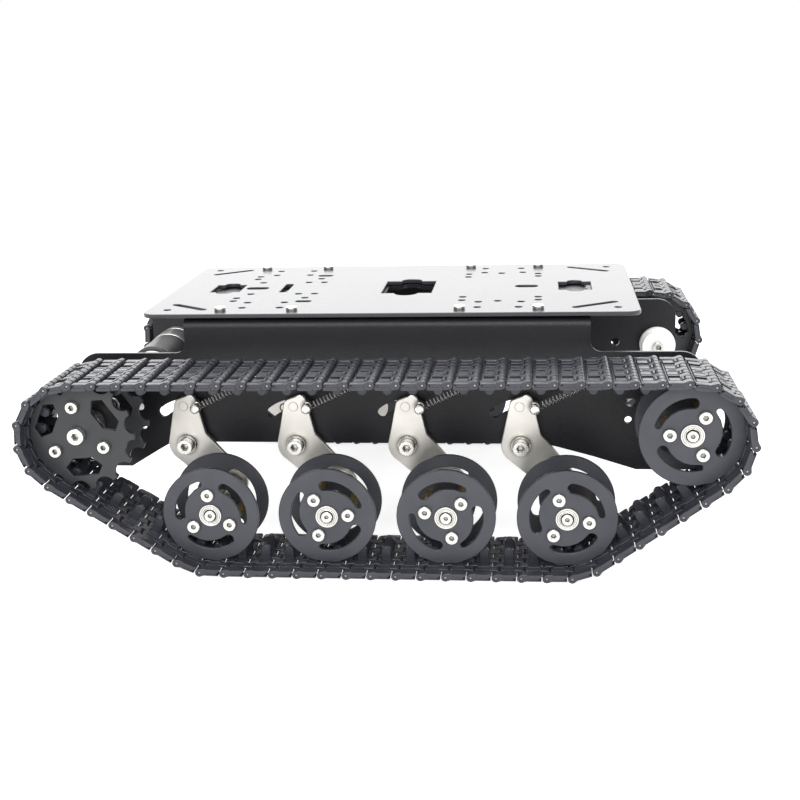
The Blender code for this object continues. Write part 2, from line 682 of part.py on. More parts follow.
def deck_mesh():
    corner = 6.0
    x, y = DECK_HALF_LENGTH - corner, DECK_HALF_WIDTH - corner
    outline = (arc(x, y, corner, 0, 90, 5) + arc(-x, y, corner, 90, 180, 5)
               + arc(-x, -y, corner, 180, 270, 5) + arc(x, -y, corner, 270, 360, 5))
    loops = [outline]
    for hole_x, hole_y in DECK_SMALL_HOLES:
        loops += [circle(hole_x, side * hole_y, SMALL_HOLE_RADIUS, 6) for side in (-1, 1)]
    loops += [slot_outline(start, end, width) for start, end, width in DECK_SLOTS]
    loops += [cable_cut(*cut) for cut in CABLE_CUTS]
    return shade(level_plate(loops, SHEET, DECK_TOP_Z - SHEET / 2), 30)


# ---------------------------------------------------------------- motors

def gearbox_mesh():
    """The spur gearbox; its output boss pokes through the hull's side and is bored for the shaft."""
    face = -(HULL_OUTER_Y - SHEET - GAP)
    boss = -(HULL_OUTER_Y + 0.5)
    bore_end = face + 14.0
    back = face + GEARBOX_LENGTH
    steps = [(2.5, bore_end), (2.5, boss), (3.6, boss), (3.6, face), (GEARBOX_RADIUS, face),
             (GEARBOX_RADIUS, back)]
    return shade(turned("gearbox", steps, 18))


def motor_mesh():
    """The motor's can with its raised end cap."""
    front = -(HULL_OUTER_Y - SHEET - GAP) + GEARBOX_LENGTH + GAP
    back = front + MOTOR_LENGTH
    steps = [(GEARBOX_RADIUS, front), (GEARBOX_RADIUS, back - 2.0), (9.0, back - 1.5), (9.0, back)]
    return shade(turned("motor", steps, 18))


# ---------------------------------------------------------------- assembly

def place(obj, x, y, z, turn=0.0):
    obj.location = (x * MM, y * MM, z * MM)
    obj.rotation_euler = (0.0, math.radians(turn), 0.0)


def build_side(side, meshes, idler_mesh):
    """One side's pieces, under an empty at the middle of its track."""
    out = OUTWARD[side]
    frame = bpy.data.objects.new(f"{side}_side", None)
    PARTS.objects.link(frame)
    frame.location.y = out * TRACK_CENTRE_Y * MM

    def piece(name, mesh, finish_name, x=0.0, y=0.0, z=0.0, turn=0.0):
        """A node at (x, z); y is how far its mesh's middle is outward from the hull's middle."""
        place(link_part(name, mesh, finish_name, frame), x, out * (y - TRACK_CENTRE_Y), z, turn)

    piece(f"track_{side}", track_mesh(side), "track_plastic", y=TRACK_CENTRE_Y)
    piece(f"gearbox_{side}", meshes["gearbox"], "gearbox_metal", SPROCKET_X, 0, SPROCKET_Z)
    piece(f"motor_can_{side}", meshes["motor_can"], "motor_can", SPROCKET_X, 0, SPROCKET_Z)
    for name, offset in (("outer", DISC_OFFSET), ("inner", -DISC_OFFSET)):
        piece(f"sprocket_{name}_plate_{side}", meshes["plate"], "toothed_steel",
              SPROCKET_X, TRACK_CENTRE_Y + offset, SPROCKET_Z)
    piece(f"sprocket_hub_{side}", meshes["sprocket_hub"], "fastener_steel",
          SPROCKET_X, TRACK_CENTRE_Y, SPROCKET_Z)
    piece(f"idler_axle_{side}", meshes["idler_axle"], "fastener_steel", IDLER_X, 0, IDLER_Z)
    piece(f"idler_bush_{side}", meshes["idler_bush"], "white_nylon", IDLER_X, 0, IDLER_Z)
    idler_finish = "anodised" if side == "right" else "toothed_steel"
    idler_turn = WHEEL_TURNS[-1] if side == "right" else toothed_idler_turn()
    piece(f"idler_wheel_{side}", idler_mesh, idler_finish, IDLER_X, TRACK_CENTRE_Y, IDLER_Z, idler_turn)

    for number, (wheel_x, pivot_x) in enumerate(zip(WHEEL_XS, PIVOT_XS), 1):
        tag = f"{side}_{number}"
        turn = WHEEL_TURNS[number - 1]
        piece(f"road_wheel_{tag}", meshes["wheel"], "anodised", wheel_x, TRACK_CENTRE_Y, WHEEL_Z, turn)
        piece(f"wheel_axle_{tag}", meshes["wheel_axle"], "fastener_steel", wheel_x, 0, WHEEL_Z)
        piece(f"swing_arm_{tag}", meshes["arm"], "arm_steel", pivot_x, ARM_Y + ARM_THICKNESS / 2, PIVOT_Z)
        piece(f"pivot_bolt_{tag}", meshes["pivot_bolt"], "fastener_steel", pivot_x, 0, PIVOT_Z)
        piece(f"tension_spring_{tag}", meshes["spring"], "spring_steel",
              pivot_x + SPRING_POST_FROM_PIVOT[0], SPRING_Y, PIVOT_Z + SPRING_POST_FROM_PIVOT[1])


def build():
    link_part("hull_channel", hull_mesh(), "powder_coat")
    link_part("deck_plate", deck_mesh(), "deck_coat")
    meshes = {
        "wheel": wheel_mesh(WHEEL_RADIUS), "plate": sprocket_plate(), "sprocket_hub": sprocket_hub(),
        "arm": arm_mesh(), "pivot_bolt": pivot_bolt(), "wheel_axle": wheel_axle(), "idler_axle": idler_axle(),
        "idler_bush": idler_bush(), "spring": tension_spring(), "gearbox": gearbox_mesh(),
        "motor_can": motor_mesh(),
    }
    build_side("right", meshes, wheel_mesh(PLAIN_IDLER_RADIUS))
    build_side("left", {name: mirrored(mesh) for name, mesh in meshes.items()}, toothed_idler())


build()
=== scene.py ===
import json
import math

import bmesh
import bpy
from mathutils import Matrix, Vector


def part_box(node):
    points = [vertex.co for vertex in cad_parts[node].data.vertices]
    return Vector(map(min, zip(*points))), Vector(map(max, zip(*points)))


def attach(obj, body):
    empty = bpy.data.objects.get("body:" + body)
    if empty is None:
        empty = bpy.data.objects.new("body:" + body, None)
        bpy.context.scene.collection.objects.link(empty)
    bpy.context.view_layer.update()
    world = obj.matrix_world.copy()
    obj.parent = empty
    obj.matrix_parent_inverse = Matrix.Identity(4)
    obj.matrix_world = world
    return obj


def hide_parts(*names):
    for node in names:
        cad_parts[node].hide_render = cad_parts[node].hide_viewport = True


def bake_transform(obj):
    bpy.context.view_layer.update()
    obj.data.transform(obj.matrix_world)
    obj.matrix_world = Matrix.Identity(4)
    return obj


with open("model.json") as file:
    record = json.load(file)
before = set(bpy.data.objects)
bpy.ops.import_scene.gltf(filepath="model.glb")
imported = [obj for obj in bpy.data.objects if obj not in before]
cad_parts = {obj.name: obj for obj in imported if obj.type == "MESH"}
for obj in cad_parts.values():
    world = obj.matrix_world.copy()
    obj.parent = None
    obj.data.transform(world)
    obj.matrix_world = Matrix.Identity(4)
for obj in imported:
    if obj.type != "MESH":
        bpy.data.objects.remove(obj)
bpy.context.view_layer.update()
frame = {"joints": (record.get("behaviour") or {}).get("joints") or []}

MM = 0.001
JOINTS = {joint["name"]: joint for joint in frame["joints"]}
OUTWARD = {"right": -1, "left": 1}


def joint_place(name):
    """A joint's position in millimetres."""
    return [value / MM for value in JOINTS[name]["pos_m"]]


# Running gear in millimetres, as the frame has it
LINK_PITCH = 11.0
SPROCKET_TEETH = 14
KNUCKLE_RADIUS = 1.85
INNER_FACE = -2.0               # height of a link's inner face from its pins
PLATE_TOP = 0.7
RIB_PITCH = 4.889
SLIT = 1.87                     # from a pin to the edge that faces its barrels
LUG_DEPTH = 6.2                 # guide lugs, which run between a wheel's two discs
WHEEL_RADIUS = 21.75
DISC_OFFSET = 10.35
DISC_THICKNESS = 2.0
PIN_CIRCLE_RADIUS = LINK_PITCH / (2 * math.sin(math.pi / SPROCKET_TEETH))
PIN_RUN_RADIUS = WHEEL_RADIUS + 0.3 - INNER_FACE
PLAIN_IDLER_RADIUS = PIN_CIRCLE_RADIUS - 0.3 + INNER_FACE
FIRST_PIN_PAST_TOP = 1.1

SPROCKET_X, _, SPROCKET_Z = joint_place("sprocket_right_spin")
TRACK_Y = -joint_place("sprocket_right_spin")[1]
IDLER_X, _, IDLER_Z = joint_place("idler_right_spin")
WHEELS = [joint_place(f"wheel_right_{n}_spin") for n in range(1, 5)]
PIVOTS = [joint_place(f"arm_right_{n}_swing") for n in range(1, 5)]
WHEEL_Z = WHEELS[0][2]
PIVOT_Z = PIVOTS[0][2]
AXLE_FROM_PIVOT = (WHEELS[0][0] - PIVOTS[0][0], WHEEL_Z - PIVOT_Z)
OUTER_FACE = -(TRACK_Y + DISC_OFFSET + DISC_THICKNESS / 2)      # of the outer discs, right side
INNER_DISC_FACE = -(TRACK_Y - DISC_OFFSET - DISC_THICKNESS / 2)

HULL_Y = 60.0
SHEET = 2.0
BEND_RADIUS = 5.0
DECK_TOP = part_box("deck_plate")[1][2] / MM
WEB_TOP = DECK_TOP - SHEET - 0.3
HULL_ENDS = (-148.0, 143.0)
WEB_ENDS = (-95.5, 92.5)
LOBE_TOP = 88.5
SKIRT_Z = 45.2
SKIRT_LOW_Z = 32.5
ARM_OUT = -65.0                 # outer face of the arms
ARM_THICKNESS = 3.0
SPRING_Y = -68.5
ARM_TRAVEL = 35                 # degrees
STOP_PIN = (-0.5, 18.5)         # this and the spring's ends are measured from an arm's pivot
SPRING_POST = (6.5, 19.0)
SPRING_ANCHOR = (36.0, 33.0)

# ---------------------------------------------------------------- camera, floor and light


def add_camera():
    """A view of the right side, slightly from the right and from above, with a long lens."""
    data = bpy.data.cameras.new("camera")
    data.lens = 56.26
    camera = bpy.data.objects.new("camera", data)
    bpy.context.scene.collection.objects.link(camera)
    yaw, pitch, roll = 0.11346, 0.27940, -0.03031
    turn = (Matrix.Rotation(yaw, 4, "Z") @ Matrix.Rotation(math.pi / 2 - pitch, 4, "X")
            @ Matrix.Rotation(roll, 4, "Z"))
    camera.matrix_world = Matrix.Translation((0.0684, -0.6156, 0.2262)) @ turn
    bpy.context.scene.camera = camera


def panel(name, place, aim, size, power):
    """A rectangular soft light aimed at a point."""
    light = bpy.data.lights.new(name, "AREA")
    light.shape = "RECTANGLE"
    light.size, light.size_y = size
    light.energy = power
    obj = bpy.data.objects.new(name, light)
    bpy.context.scene.collection.objects.link(obj)
    obj.location = place
    obj.rotation_euler = (Vector(aim) - Vector(place)).to_track_quat("-Z", "Y").to_euler()
    obj.visible_camera = False


def add_studio():
    """A white room: a glowing paper floor and three soft panels."""
    world = bpy.data.worlds.new("studio")
    world.use_nodes = True
    background = world.node_tree.nodes["Background"]
    background.inputs["Color"].default_value = (1.0, 1.0, 1.0, 1.0)
    background.inputs["Strength"].default_value = 1.0
    bpy.context.scene.world = world
    bpy.context.scene.view_settings.view_transform = "Standard"
    bpy.ops.mesh.primitive_plane_add(size=8.0)
    floor = bpy.context.object
    floor.name = "floor"
    paper = material("floor_paper", (0.6, 0.6, 0.6), 0.9, shift=0.01, grain=(300, 0.02))
    glow = paper.node_tree.nodes["Principled BSDF"]
    glow.inputs["Emission Color"].default_value = (1.0, 1.0, 1.0, 1.0)
    glow.inputs["Emission Strength"].default_value = 0.75
    floor.data.materials.append(paper)
    panel("back_panel", (0.1, 1.6, 0.75), (0.0, 0.0, 0.1), (3.2, 1.0), 26.0)
    panel("top_panel", (-0.3, -0.2, 1.5), (0.0, 0.0, 0.0), (1.6, 0.8), 16.0)
    panel("front_panel", (0.1, -1.5, 0.80), (0.0, 0.0, 0.1), (3.0, 0.4), 30.0)


# ---------------------------------------------------------------- materials

def material(name, colour, roughness, metallic=0.0, shift=0.12, grain=(1500.0, 0.1), stretch=(1, 1, 1),
             patch=90.0, painted_shade=0.0, shine=0.5):
    """A surface with cloudy colour and an uneven gloss.

    grain is the fine bump's scale and strength, and painted_shade is how far painted shade reaches into
    corners and recesses, in millimetres: an ambient occlusion darkening of the base colour.
    """
    made = bpy.data.materials.new(name)
    made.use_nodes = True
    tree = made.node_tree
    shader = tree.nodes["Principled BSDF"]
    shader.inputs["Metallic"].default_value = metallic
    coords = tree.nodes.new("ShaderNodeTexCoord")
    mapping = tree.nodes.new("ShaderNodeMapping")
    mapping.inputs["Scale"].default_value = stretch
    tree.links.new(coords.outputs["Object"], mapping.inputs["Vector"])
    cloud = tree.nodes.new("ShaderNodeTexNoise")
    cloud.inputs["Scale"].default_value = patch
    cloud.inputs["Detail"].default_value = 4.0
    tree.links.new(coords.outputs["Object"], cloud.inputs["Vector"])
    ramp = tree.nodes.new("ShaderNodeValToRGB")
    ramp.color_ramp.elements[0].position = 0.3
    ramp.color_ramp.elements[1].position = 0.7
    ramp.color_ramp.elements[0].color = (*[max(c * (1 - shift), 0.0) for c in colour], 1.0)
    ramp.color_ramp.elements[1].color = (*[min(c * (1 + shift), 1.0) for c in colour], 1.0)
    tree.links.new(cloud.outputs["Fac"], ramp.inputs["Fac"])
    shader.inputs["Specular IOR Level"].default_value = shine
    tree.links.new(ramp.outputs["Color"], shader.inputs["Base Color"])
    # Painted shade: an ambient occlusion mask darkens the base colour, down to 12% of itself, in corners,
    # creases and recesses.
    if painted_shade:
        corners = tree.nodes.new("ShaderNodeAmbientOcclusion")
        corners.inputs["Distance"].default_value = painted_shade * MM
        corners.samples = 8
        deepen = tree.nodes.new("ShaderNodeMath")
        deepen.operation = "POWER"
        deepen.inputs[1].default_value = 2.2
        tree.links.new(corners.outputs["AO"], deepen.inputs[0])
        dark = tree.nodes.new("ShaderNodeMix")
        dark.data_type = "RGBA"
        dark.inputs["A"].default_value = (*[c * 0.12 for c in colour], 1.0)
        tree.links.new(deepen.outputs["Value"], dark.inputs["Factor"])
        tree.links.new(ramp.outputs["Color"], dark.inputs["B"])
        tree.links.new(dark.outputs["Result"], shader.inputs["Base Color"])
    fine = tree.nodes.new("ShaderNodeTexNoise")
    fine.inputs["Scale"].default_value = grain[0]
    fine.inputs["Detail"].default_value = 3.0
    tree.links.new(mapping.outputs["Vector"], fine.inputs["Vector"])
    spread = 0.08
    gloss = tree.nodes.new("ShaderNodeMapRange")
    gloss.inputs["To Min"].default_value = max(roughness - spread, 0.02)
    gloss.inputs["To Max"].default_value = roughness + spread
    tree.links.new(fine.outputs["Fac"], gloss.inputs["Value"])
    tree.links.new(gloss.outputs["Result"], shader.inputs["Roughness"])
    bump = tree.nodes.new("ShaderNodeBump")
    bump.inputs["Strength"].default_value = grain[1]
    bump.inputs["Distance"].default_value = 0.0002
    tree.links.new(fine.outputs["Fac"], bump.inputs["Height"])
    tree.links.new(bump.outputs["Normal"], shader.inputs["Normal"])
    return made


LOOKS = {
    "powder_coat": material("powder_coat_look", (0.006, 0.006, 0.008), 0.36, grain=(1800.0, 0.6), shine=0.30),
    "deck_coat": material("deck_coat_look", (0.025, 0.025, 0.03), 0.3, grain=(1200.0, 0.06), patch=25.0),
    "track_plastic": material("track_plastic_look", (0.020, 0.021, 0.028), 0.36, shift=0.3,
                              grain=(900.0, 0.15)),
    "anodised": material("anodised_look", (0.038, 0.040, 0.048), 0.40, 0.3, grain=(2200.0, 0.15)),
    "toothed_steel": material("toothed_steel_look", (0.022, 0.023, 0.026), 0.4, 0.2, grain=(2000.0, 0.15)),
    # The arm and fastener steels below carry painted shade: ambient occlusion darkens their corners and
    # recesses.
    "arm_steel": material("arm_steel_look", (0.60, 0.58, 0.54), 0.36, 1.0, shift=0.10,
                          stretch=(1.0, 1.0, 9.0), grain=(350.0, 0.05), patch=60.0, painted_shade=2.0),
    "fastener_steel": material("fastener_steel_look", (0.66, 0.65, 0.61), 0.28, 1.0, shift=0.08,
                               grain=(1600.0, 0.05), painted_shade=1.6),
    "spring_steel": material("spring_steel_look", (0.30, 0.29, 0.28), 0.3, 1.0, grain=(2500.0, 0.05)),
    "gearbox_metal": material("gearbox_metal_look", (0.55, 0.55, 0.54), 0.35, 1.0, grain=(1500.0, 0.06)),
    "motor_can": material("motor_can_look", (0.02, 0.02, 0.021), 0.35, grain=(1500.0, 0.08)),
    "white_nylon": material("white_nylon_look", (0.82, 0.82, 0.80), 0.45, shift=0.03, grain=(900.0, 0.05)),
    "brass": material("brass_look", (0.62, 0.44, 0.16), 0.3, 1.0, grain=(1300.0, 0.06)),
    "cap_light": material("cap_light_look", (0.70, 0.69, 0.66), 0.45, grain=(1300.0, 0.06)),
}

# ---------------------------------------------------------------- mesh helpers


def mesh_of(obj, name):
    """The object's mesh with its modifiers applied; the object is removed."""
    graph = bpy.context.evaluated_depsgraph_get()
    mesh = bpy.data.meshes.new_from_object(obj.evaluated_get(graph), depsgraph=graph)
    mesh.name = name
    bpy.data.objects.remove(obj, do_unlink=True)
    return mesh


def temporary(data):
    obj = bpy.data.objects.new("temporary", data)
    bpy.context.scene.collection.objects.link(obj)
    return obj


def welded(mesh, turn=None):
    """Doubles merged and faces turned outward, after an optional turn."""
    edit = bmesh.new()
    edit.from_mesh(mesh)
    bmesh.ops.remove_doubles(edit, verts=edit.verts, dist=0.002 * MM)
    if turn:
        edit.transform(turn)
    bmesh.ops.recalc_face_normals(edit, faces=edit.faces)
    edit.to_mesh(mesh)
    edit.free()
    return mesh


def plate(loops, thickness, bevel=0.25, y=0.0):
    """A plate with softened edges from (x, z) loops; y is its middle plane."""
    slant = 0.3                 # outlines are filled at a slant: level rows of points leave slivers
    curve = bpy.data.curves.new("plate", "CURVE")
    curve.dimensions = "2D"
    curve.fill_mode = "BOTH"
    curve.extrude = (thickness / 2 - bevel) * MM
    curve.bevel_depth = bevel * MM
    curve.bevel_resolution = 0
    curve.offset = -bevel * MM
    tilt = Matrix.Rotation(slant, 2)
    for loop in loops:
        spline = curve.splines.new("POLY")
        spline.points.add(len(loop) - 1)
        for point, (x, z) in zip(spline.points, loop):
            point.co = (*(tilt @ Vector((x * MM, z * MM))), 0.0, 1.0)
        spline.use_cyclic_u = True
    mesh = mesh_of(temporary(curve), "plate")
    upright = (Matrix.Translation((0, y * MM, 0)) @ Matrix.Rotation(math.pi / 2, 4, "X")
               @ Matrix.Rotation(-slant, 4, "Z"))
    return welded(mesh, upright)


def softened(profile, cut):
    """The same polyline with its corners cut."""
    points = [profile[0]]
    for before, here, after in zip(profile, profile[1:], profile[2:]):
        for other in (before, after):
            share = min(cut / max(math.dist(here, other), 0.001), 0.4)
            points.append(tuple(h + (o - h) * share for h, o in zip(here, other)))
    return points + [profile[-1]]


def turned(profile, segments=32, cut=0.25, x=0.0, z=0.0):
    """A solid turned about the Y axis from (radius, y) steps, both ends on the axis."""
    points = softened([(0.0, profile[0][1]), *profile, (0.0, profile[-1][1])], cut)
    mesh = bpy.data.meshes.new("turned")
    edges = [(i, i + 1) for i in range(len(points) - 1)]
    mesh.from_pydata([(r * MM, y * MM, 0.0) for r, y in points], edges, [])
    obj = temporary(mesh)
    screw = obj.modifiers.new("turn", "SCREW")
    screw.axis = "Y"
    screw.steps = segments
    screw.render_steps = segments
    screw.use_merge_vertices = True
    screw.merge_threshold = 0.000002
    return welded(mesh_of(obj, "turned"), Matrix.Translation((x * MM, 0, z * MM)))


def block(low, high, bevel=0.0):
    """A box between two corners."""
    edit = bmesh.new()
    bmesh.ops.create_cube(edit, size=1.0)
    scale = [(b - a) * MM for a, b in zip(low, high)]
    middle = [(a + b) / 2 * MM for a, b in zip(low, high)]
    edit.transform(Matrix.Translation(middle) @ Matrix.Diagonal((*scale, 1.0)))
    if bevel:
        bmesh.ops.bevel(edit, geom=edit.edges, offset=bevel * MM, segments=2, affect="EDGES", profile=0.5)
    mesh = bpy.data.meshes.new("block")
    edit.to_mesh(mesh)
    edit.free()
    return mesh


def together(meshes):
    """Several closed bodies as one mesh."""
    edit = bmesh.new()
    for mesh in meshes:
        edit.from_mesh(mesh)
    whole = bpy.data.meshes.new("together")
    edit.to_mesh(whole)
    edit.free()
    return whole


def combined(base, others, operation):
    """The base after a boolean with each of the others."""
    body = temporary(base)
    tools = []
    for other in others:
        tool = temporary(other)
        cut = body.modifiers.new("cut", "BOOLEAN")
        cut.operation = operation
        cut.solver = "EXACT"
        cut.object = tool
        tools.append(tool)
    result = mesh_of(body, "combined")
    for tool in tools:
        bpy.data.objects.remove(tool, do_unlink=True)
    return result


def moved(mesh, x=0.0, y=0.0, z=0.0, turn=0.0):
    """A shifted copy; it is first turned about Y, in degrees counter-clockwise from the right side."""
    copy = mesh.copy()
    copy.transform(Matrix.Translation((x * MM, y * MM, z * MM))
                   @ Matrix.Rotation(-math.radians(turn), 4, "Y"))
    return copy


def mirrored(mesh):
    copy = mesh.copy()
    copy.transform(Matrix.Scale(-1, 4, (0, 1, 0)))
    copy.flip_normals()
    return copy


def piece(name, mesh, body, look, replaces=(), angle=35.0):
    """A visible piece that rides on a body, if one is given, in place of some CAD nodes."""
    mesh.shade_smooth()
    mesh.set_sharp_from_angle(angle=math.radians(angle))
    mesh.materials.clear()
    mesh.materials.append(LOOKS[look])
    obj = bpy.data.objects.new(name, mesh)
    bpy.context.scene.collection.objects.link(obj)
    if body:
        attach(obj, body)
    if replaces:
        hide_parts(*replaces)
    return obj


def both_sides(name, mesh, body, look, replaces=()):
    """The right side's piece and its mirror image; {side} in the names is filled in."""
    for side in OUTWARD:
        own = mesh.copy() if side == "right" else mirrored(mesh)
        piece(name.format(side=side), own, body.format(side=side), look,
              [node.format(side=side) for node in replaces])


# ---------------------------------------------------------------- outlines

def circle(x, z, radius, points=32):
    return arc(x, z, radius, 0, 360 - 360 / points, points)


def arc(x, z, radius, first, last, points):
    angles = [math.radians(first + (last - first) * i / (points - 1)) for i in range(points)]
    return [(x + radius * math.cos(a), z + radius * math.sin(a)) for a in angles]


def polar(radius, turn):
    return radius * math.cos(math.radians(turn)), radius * math.sin(math.radians(turn))


def slot_outline(start, end, width):
    heading = math.degrees(math.atan2(end[1] - start[1], end[0] - start[0]))
    return (arc(*end, width / 2, heading - 90, heading + 90, 9)
            + arc(*start, width / 2, heading + 90, heading + 270, 9))


def curved_slot(x, z, radius, width, first, last):
    """A slot along an arc, from one angle to another, with round ends."""
    low = (x + polar(radius, first)[0], z + polar(radius, first)[1])
    high = (x + polar(radius, last)[0], z + polar(radius, last)[1])
    half = width / 2
    return (arc(x, z, radius + half, first, last, 12) + arc(*high, half, last, last + 180, 9)[1:-1]
            + arc(x, z, radius - half, last, first, 12) + arc(*low, half, first + 180, first + 360, 9)[1:-1])


def cable_cut(x, length, width, bulge):
    """A rectangle across the middle line with a round bulge on each long side."""
    side, half = length / 2, width / 2
    return [(x - side, -half), *arc(x, -half, bulge, 180, 360, 14), (x + side, -half), (x + side, half),
            *arc(x, half, bulge, 0, 180, 14), (x - side, half)]


# ---------------------------------------------------------------- tracks

def track_segments(corners):
    """Straights and arcs round (x, z, radius) corners, clockwise from the top of the first."""
    outward = []
    for (x1, z1, r1), (x2, z2, r2) in zip(corners, corners[1:] + corners[:1]):
        span = math.hypot(x2 - x1, z2 - z1)
        outward.append(math.atan2(z2 - z1, x2 - x1) + math.acos((r1 - r2) / span))
    segments = []
    for i, here in enumerate(corners):
        there = corners[(i + 1) % len(corners)]
        turn = outward[i]
        start = [here[k] + here[2] * (math.cos(turn), math.sin(turn))[k] for k in (0, 1)]
        end = [there[k] + there[2] * (math.cos(turn), math.sin(turn))[k] for k in (0, 1)]
        segments.append(("line", math.dist(start, end), start, end))
        bend = (turn - outward[(i + 1) % len(outward)]) % (2 * math.pi)
        segments.append(("arc", bend * there[2], there, turn))
    return segments


def pin_places():
    """Where a track's hinge pins are, as (x, z), clockwise."""
    segments = track_segments((
        (SPROCKET_X, SPROCKET_Z, PIN_CIRCLE_RADIUS), (IDLER_X, IDLER_Z, PIN_CIRCLE_RADIUS),
        (WHEELS[-1][0], WHEEL_Z, PIN_RUN_RADIUS), (WHEELS[0][0], WHEEL_Z, PIN_RUN_RADIUS)))
    length = sum(segment[1] for segment in segments)
    links = round(length / LINK_PITCH)
    pins = []
    for i in range(links):
        along = FIRST_PIN_PAST_TOP + i * length / links
        for kind, span, *rest in segments:
            if along <= span:
                break
            along -= span
        if kind == "line":
            start, end = rest
            pins.append(tuple(start[k] + (end[k] - start[k]) * along / span for k in (0, 1)))
        else:
            (x, z, radius), first = rest
            turn = first - along / radius
            pins.append((x + radius * math.cos(turn), z + radius * math.sin(turn)))
    return pins


def rib(across, width, to_right, pitch):
    """One rib of a link. Its barrel is on the right pin or on the left one."""
    if to_right:
        outline = [(SLIT, INNER_FACE), (SLIT, -1.0), (3.2, -1.0), (3.3, PLATE_TOP), (pitch - 3.4, PLATE_TOP),
                   *arc(pitch, 0, KNUCKLE_RADIUS, 125, -90, 12), (pitch - 1.6, INNER_FACE)]
    else:
        outline = [*arc(0, 0, KNUCKLE_RADIUS, 270, -20, 16), (2.1, -1.0), (3.2, -1.0), (3.3, PLATE_TOP),
                   (pitch - 3.4, PLATE_TOP), (pitch - 2.5, 1.4), (pitch - SLIT, 1.3),
                   (pitch - SLIT, INNER_FACE), (1.6, INNER_FACE)]
    return plate([outline], width, bevel=0.22, y=across)


def link_mesh(pitch):
    """One link: nine ribs on a base, edge bars, guide lugs, and holes for teeth and pins."""
    solids = []
    for number in range(-4, 5):
        solids.append(rib(number * RIB_PITCH, 4.0, number % 2 == 0, pitch))
        if abs(number) == 4:
            out = math.copysign(1, number)
            for low, high, near, far in ((INNER_FACE, -0.75, 19.0, 22.0), (0.42, 0.95, 18.0, 21.9)):
                ends = sorted((out * near, out * far))
                solids.append(block((2.3, ends[0], low), (8.5, ends[1], high), 0.2))
            ends = sorted((out * 19.0, out * 21.8))
            solids.append(block((7.1, ends[0], -1.0), (7.9, ends[1], 0.6), 0.1))
    solids.append(block((2.7, -21.6, INNER_FACE + 0.05), (pitch - 2.5, 21.6, -0.15), 0.15))
    tongue = [(3.3, -1.5), *arc(5.5, INNER_FACE - LUG_DEPTH + 2.2, 2.2, 180, 360, 12), (7.7, -1.5)]
    for out in (-1, 1):
        solids.append(plate([tongue], 2.8, 0.4, out * 6.0))
        low, high = sorted((out * 12.9, out * 13.9))
        solids.append(block((3.0, low, INNER_FACE - 0.5), (8.1, high, INNER_FACE + 0.6), 0.2))
    link = combined(solids[0], solids[1:], "UNION")
    cutters = [block((4.2, -0.8, -0.5), (7.5, 0.8, 2.0))]
    for out in (-1, 1):
        low, high = sorted((out * 9.0, out * 11.7))
        cutters.append(block((3.2, low, -6.0), (7.9, high, 3.0)))
        low, high = sorted((out * 21.2, out * 23.0))
        cutters.append(turned([(0.85, low), (0.85, high)], 12, 0.0, x=pitch))
    return combined(link, [together(cutters)], "DIFFERENCE")


def laid_along(mesh, pins):
    """A copy of the mesh on every pair of neighbouring pins; +X runs to the next pin."""
    edit = bmesh.new()
    for here, there in zip(pins, pins[1:] + pins[:1]):
        run = (Vector(there) - Vector(here)).normalized()
        copy = mesh.copy()
        copy.transform(Matrix(((run.x, 0, -run.y, here[0] * MM), (0, 1, 0, 0),
                               (run.y, 0, run.x, here[1] * MM), (0, 0, 0, 1))))
        edit.from_mesh(copy)
        bpy.data.meshes.remove(copy)
    whole = bpy.data.meshes.new("laid")
    edit.to_mesh(whole)
    edit.free()
    return whole


def build_tracks():
    pins = pin_places()
    links = laid_along(link_mesh(math.dist(pins[1], pins[2])), pins)
    steel = laid_along(turned([(0.5, -21.3), (0.5, 21.3)], 10, 0.1), pins)
    for side, out in OUTWARD.items():
        piece(f"track_links_{side}", moved(links, y=out * TRACK_Y), "chassis", "track_plastic",
              [f"track_{side}"])
        piece(f"hinge_pins_{side}", moved(steel, y=out * TRACK_Y), "chassis", "spring_steel")


# ---------------------------------------------------------------- fasteners

def socket_screw(x, z, face, radius, height, hexagon):
    """A socket screw's head that stands on a face towards -Y."""
    depth = height * 0.7
    top = plate([circle(x, z, radius, 28), circle(x, z, hexagon, 6)], depth, 0.25, face - height + depth / 2)
    base = plate([circle(x, z, radius - 0.05, 28)], height - depth + 0.3, 0.1, face - (height - depth) / 2)
    return together([top, base])


def bearing(face, outer):
    """A flanged bearing's visible rings round a small centre screw."""
    steps = [(outer - 0.1, face + 0.6), (outer, face - 0.9), (outer - 0.6, face - 0.9),
             (outer - 0.75, face - 0.6), (outer - 1.6, face - 0.6), (outer - 1.75, face - 1.0),
             (outer - 2.1, face - 1.0), (outer - 2.2, face - 0.7), (outer - 2.3, face - 0.5)]
    return together([turned(steps, 40, 0.08), socket_screw(0, 0, face - 0.3, 2.5, 1.5, 0.95)])


# ---------------------------------------------------------------- wheels

def comma_slot(base, flipped):
    """A curved window, narrow at one end; its outer edge follows the rim."""
    outer = arc(0, 0, 16.2, base + 14, base + 88, 16)
    start = arc(*polar(14.9, base + 14), 1.3, base + 14, base - 166, 6)[1:]
    finish = arc(*polar(13.9, base + 88), 2.3, base + 88, base + 268, 9)[1:-1]
    inner = [polar(13.6 - 2.0 * t, base + 14 + 74 * t) for t in (0.2, 0.4, 0.6, 0.8)]
    loop = outer + finish + inner[::-1] + start[::-1]
    return [(-x, z) for x, z in loop][::-1] if flipped else loop


